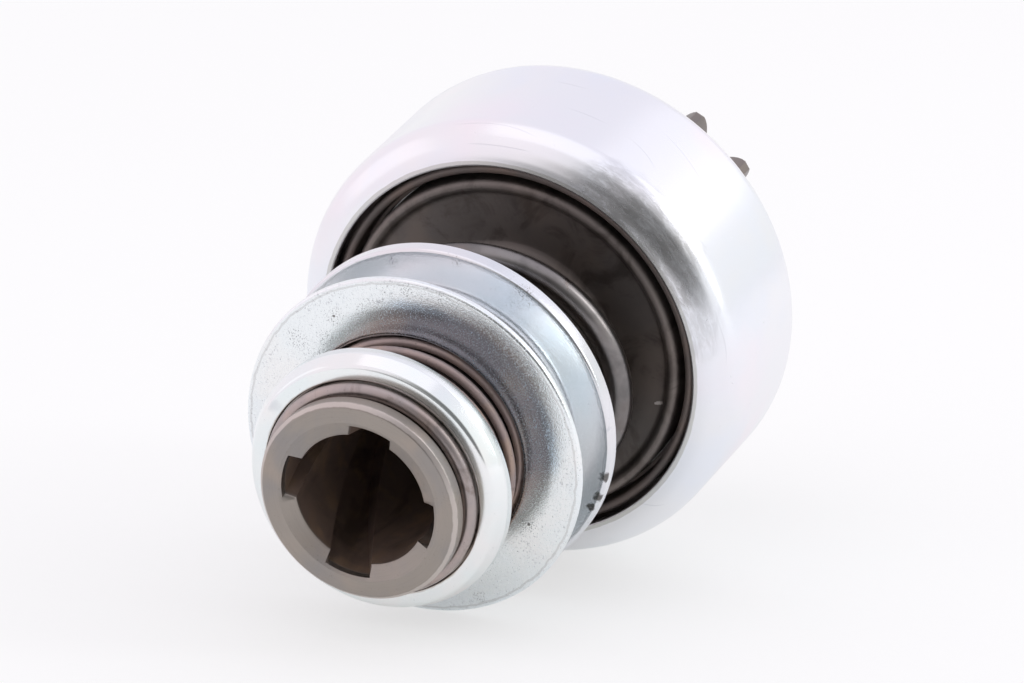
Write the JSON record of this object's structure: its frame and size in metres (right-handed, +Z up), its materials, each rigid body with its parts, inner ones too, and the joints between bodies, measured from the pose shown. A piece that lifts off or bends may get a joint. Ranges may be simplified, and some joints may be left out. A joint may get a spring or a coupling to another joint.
{
  "type": "starter drive",
  "caption": "Starter motor drive: splined sleeve with a sprung shift spool, a roller overrunning clutch in a pressed shell, and a pinion that meshes with the flywheel ring gear.",
  "frame": {"origin": "on the axis, at the open end face of the splined sleeve", "axes": "+X along the axis from the sleeve's open end to the pinion, +Z up as the part lies in the picture"},
  "size_m": [0.106, 0.0688, 0.0688],
  "materials": {
    "dark_steel": "oiled machined forging",
    "spring_steel": "plain spring wire",
    "zinc_plate": "bright zinc plating",
    "brown_spring": "brown tempered wire",
    "dark_spring": "dark oiled wire",
    "brown_steel": "brown oiled steel",
    "inner_steel": "hardened and ground",
    "roller_steel": "ground",
    "gear_steel": "case-hardened",
    "bush_bronze": "sintered bronze",
    "felt": "felt"
  },
  "bodies": {
    "driver": {"splined_sleeve": "dark_steel", "lock_ring": "spring_steel", "stop_cup": "zinc_plate", "return_spring": "brown_spring", "buffer_spring": "dark_spring", "closing_ring": "brown_steel", "clutch_shell": "zinc_plate", "cam_ring": "inner_steel", "spacer_ring": "inner_steel", "half_ring_1": "inner_steel", "half_ring_2": "inner_steel", "dust_seal": "felt", "plunger_spring_1": "spring_steel", "plunger_spring_2": "spring_steel", "plunger_spring_3": "spring_steel", "plunger_spring_4": "spring_steel"},
    "spool": {"spool_front_flange": "zinc_plate", "spool_rear_flange": "zinc_plate", "spool_guide_bush": "bush_bronze"},
    "pinion": {"pinion_gear": "gear_steel", "race_bush": "bush_bronze", "nose_bush": "bush_bronze"},
    "roller_1": {"roller_1": "roller_steel"},
    "roller_2": {"roller_2": "roller_steel"},
    "roller_3": {"roller_3": "roller_steel"},
    "roller_4": {"roller_4": "roller_steel"},
    "plunger_1": {"plunger_1": "inner_steel"},
    "plunger_2": {"plunger_2": "inner_steel"},
    "plunger_3": {"plunger_3": "inner_steel"},
    "plunger_4": {"plunger_4": "inner_steel"}
  },
  "joints": [
    {"name": "spool_slide", "type": "slide", "parent": "driver", "child": "spool", "axis": [1, 0, 0], "range_m": [-0.004, 0.008], "stiffness_N_per_m": 6000, "deforming": ["return_spring", "buffer_spring"]},
    {"name": "pinion_spin", "type": "hinge", "parent": "driver", "child": "pinion", "pos_m": [0.0838, 0, 0], "axis": [1, 0, 0], "continuous": true},
    {"name": "roller_1_shift", "type": "hinge", "parent": "driver", "child": "roller_1", "pos_m": [0.069, 0, 0], "axis": [-1, 0, 0], "range_deg": [0, 5], "stiffness_Nm_per_rad": 1},
    {"name": "roller_2_shift", "type": "hinge", "parent": "driver", "child": "roller_2", "pos_m": [0.069, 0, 0], "axis": [-1, 0, 0], "range_deg": [0, 5]},
    {"name": "roller_3_shift", "type": "hinge", "parent": "driver", "child": "roller_3", "pos_m": [0.069, 0, 0], "axis": [-1, 0, 0], "range_deg": [0, 5]},
    {"name": "roller_4_shift", "type": "hinge", "parent": "driver", "child": "roller_4", "pos_m": [0.069, 0, 0], "axis": [-1, 0, 0], "range_deg": [0, 5]},
    {"name": "plunger_1_slide", "type": "slide", "parent": "driver", "child": "plunger_1", "axis": [0, -1, 0], "range_m": [0, 0.0017], "deforming": ["plunger_spring_1"]},
    {"name": "plunger_2_slide", "type": "slide", "parent": "driver", "child": "plunger_2", "axis": [0, 0, -1], "range_m": [0, 0.0017], "deforming": ["plunger_spring_2"]},
    {"name": "plunger_3_slide", "type": "slide", "parent": "driver", "child": "plunger_3", "axis": [0, 1, 0], "range_m": [0, 0.0017], "deforming": ["plunger_spring_3"]},
    {"name": "plunger_4_slide", "type": "slide", "parent": "driver", "child": "plunger_4", "axis": [0, 0, 1], "range_m": [0, 0.0017], "deforming": ["plunger_spring_4"]}
  ],
  "couplings": [
    {"joint": "roller_2_shift", "follows": "roller_1_shift", "ratio": 1},
    {"joint": "roller_3_shift", "follows": "roller_1_shift", "ratio": 1},
    {"joint": "roller_4_shift", "follows": "roller_1_shift", "ratio": 1},
    {"joint": "plunger_1_slide", "follows": "roller_1_shift", "m_per_rad": 0.018926},
    {"joint": "plunger_2_slide", "follows": "roller_1_shift", "m_per_rad": 0.018926},
    {"joint": "plunger_3_slide", "follows": "roller_1_shift", "m_per_rad": 0.018926},
    {"joint": "plunger_4_slide", "follows": "roller_1_shift", "m_per_rad": 0.018926}
  ]
}
